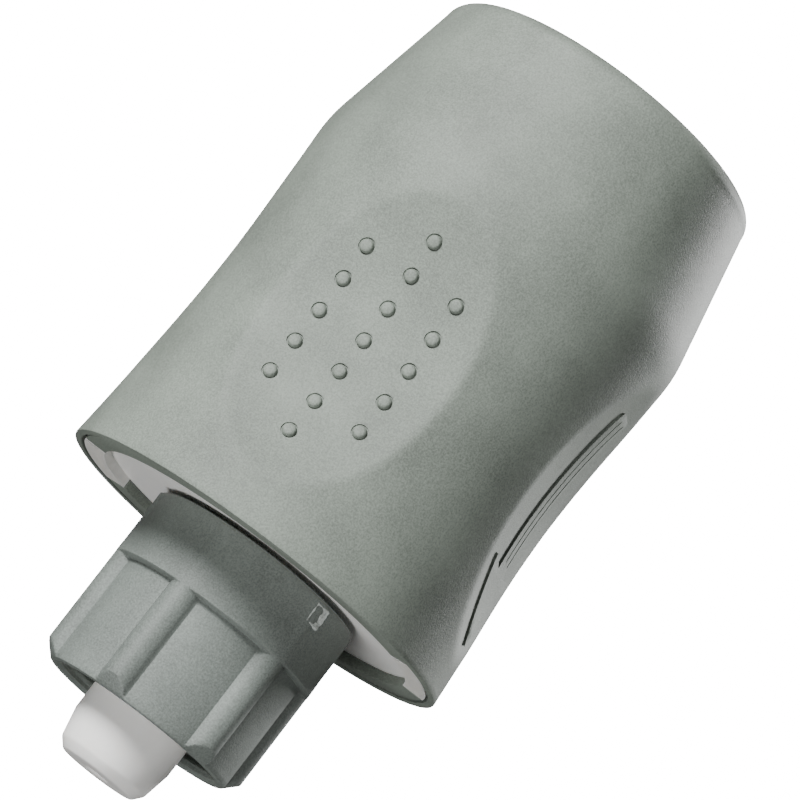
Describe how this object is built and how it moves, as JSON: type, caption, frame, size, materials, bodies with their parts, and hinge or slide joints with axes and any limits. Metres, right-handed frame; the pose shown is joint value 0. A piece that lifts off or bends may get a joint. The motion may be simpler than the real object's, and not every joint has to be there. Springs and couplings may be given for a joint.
{
  "type": "motorised actuator head",
  "caption": "Waisted hand-sized motorised actuator head with dotted and arrowed grip pads, a ribbed union nut and a screw-driven plunger for a heating valve.",
  "frame": {"origin": "centre of the neck's flat seating face, where the head lands on the valve", "axes": "+Z along the head's axis, away from the valve, towards the end cover; -Y and +Y out of the dotted grip pads; +X and -X out of the arrow pads"},
  "size_m": [0.066, 0.066, 0.125],
  "materials": {
    "housing_plastic": "grey-green injection-moulded plastic with a fine spark-eroded matte texture",
    "nut_plastic": "darker grey matte glass-filled plastic",
    "base_plastic": "white acetal, matte",
    "plunger_plastic": "white acetal, slightly glossy",
    "gear_plastic": "natural acetal",
    "cradle_plastic": "black ABS",
    "steel": "bright drawn steel",
    "zinc_steel": "zinc-plated steel",
    "bronze": "sintered bronze",
    "brass": "turned brass",
    "ferrite": "sintered ferrite, unpainted",
    "nickel": "nickel-plated spring steel",
    "cell_sleeve": "plain shrink sleeve over a steel can",
    "board": "glass-epoxy with green solder mask",
    "chip_epoxy": "black moulding epoxy",
    "window": "clear diffusing polycarbonate",
    "rubber": "black nitrile rubber",
    "button_plastic": "dark grey matte plastic"
  },
  "bodies": {
    "housing": {"outer_housing": "housing_plastic", "bezel_ring": "housing_plastic", "base_plate": "base_plastic", "valve_neck": "base_plastic", "neck_circlip": "nickel", "plunger_seal": "rubber", "gearbox_plate": "base_plastic", "screw_bearing": "bronze", "gearbox_screws": "zinc_steel", "idler_axle_1": "steel", "idler_axle_2": "steel", "motor_can": "zinc_steel", "motor_bush": "bronze", "motor_magnets": "ferrite", "motor_end_bell": "cradle_plastic", "motor_terminals": "nickel", "cell_cradle": "cradle_plastic", "cell_left": "cell_sleeve", "cell_right": "cell_sleeve", "contact_springs": "nickel", "contact_plates": "nickel", "circuit_board": "board", "board_chips": "chip_epoxy", "board_capacitors": "nickel", "tact_switch": "chip_epoxy", "status_led": "window"},
    "nut_washer": {"nut_washer": "nickel"},
    "coupling_nut": {"coupling_nut": "nut_plastic"},
    "plunger": {"plunger": "plunger_plastic"},
    "screw": {"lead_screw": "steel", "drive_gear": "gear_plastic"},
    "idler_2": {"idler_gear_2": "gear_plastic"},
    "idler_1": {"idler_gear_1": "gear_plastic"},
    "rotor": {"motor_shaft": "steel", "motor_armature": "steel", "motor_pinion": "brass"},
    "end_cover": {"end_cover": "housing_plastic", "cover_seal": "rubber", "status_window": "window", "cell_bridge": "nickel"},
    "mode_button": {"mode_button": "button_plastic"}
  },
  "joints": [
    {"name": "nut_slide", "type": "slide", "parent": "housing", "child": "nut_washer", "axis": [0, 0, -1], "range_m": [0, 0.009]},
    {"name": "nut_spin", "type": "hinge", "parent": "nut_washer", "child": "coupling_nut", "pos_m": [0, 0, 0], "axis": [0, 0, 1], "continuous": true},
    {"name": "motor_spin", "type": "hinge", "parent": "housing", "child": "rotor", "pos_m": [0, -0.0125, 0], "axis": [0, 0, 1], "range_deg": [0, 33780]},
    {"name": "idler_1_spin", "type": "hinge", "parent": "housing", "child": "idler_1", "pos_m": [-0.0105, -0.01272, 0], "axis": [0, 0, 1], "range_deg": [-10560, 0]},
    {"name": "idler_2_spin", "type": "hinge", "parent": "housing", "child": "idler_2", "pos_m": [-0.01644, -0.00346, 0], "axis": [0, 0, 1], "range_deg": [0, 3960]},
    {"name": "screw_spin", "type": "hinge", "parent": "housing", "child": "screw", "pos_m": [0, 0, 0], "axis": [0, 0, 1], "range_deg": [-1080, 0]},
    {"name": "plunger_slide", "type": "slide", "parent": "housing", "child": "plunger", "axis": [0, 0, 1], "range_m": [0, 0.012]},
    {"name": "cover_lift", "type": "slide", "parent": "housing", "child": "end_cover", "axis": [0, 0, 1], "range_m": [0, 0.04]},
    {"name": "button_press", "type": "slide", "parent": "end_cover", "child": "mode_button", "axis": [0, 0, -1], "range_m": [0, 0.0006], "stiffness_N_per_m": 400}
  ],
  "couplings": [
    {"joint": "idler_1_spin", "follows": "motor_spin", "ratio": -0.3125},
    {"joint": "idler_2_spin", "follows": "motor_spin", "ratio": 0.11719},
    {"joint": "screw_spin", "follows": "motor_spin", "ratio": -0.03196},
    {"joint": "plunger_slide", "follows": "motor_spin", "m_per_rad": 0.000020347}
  ]
}
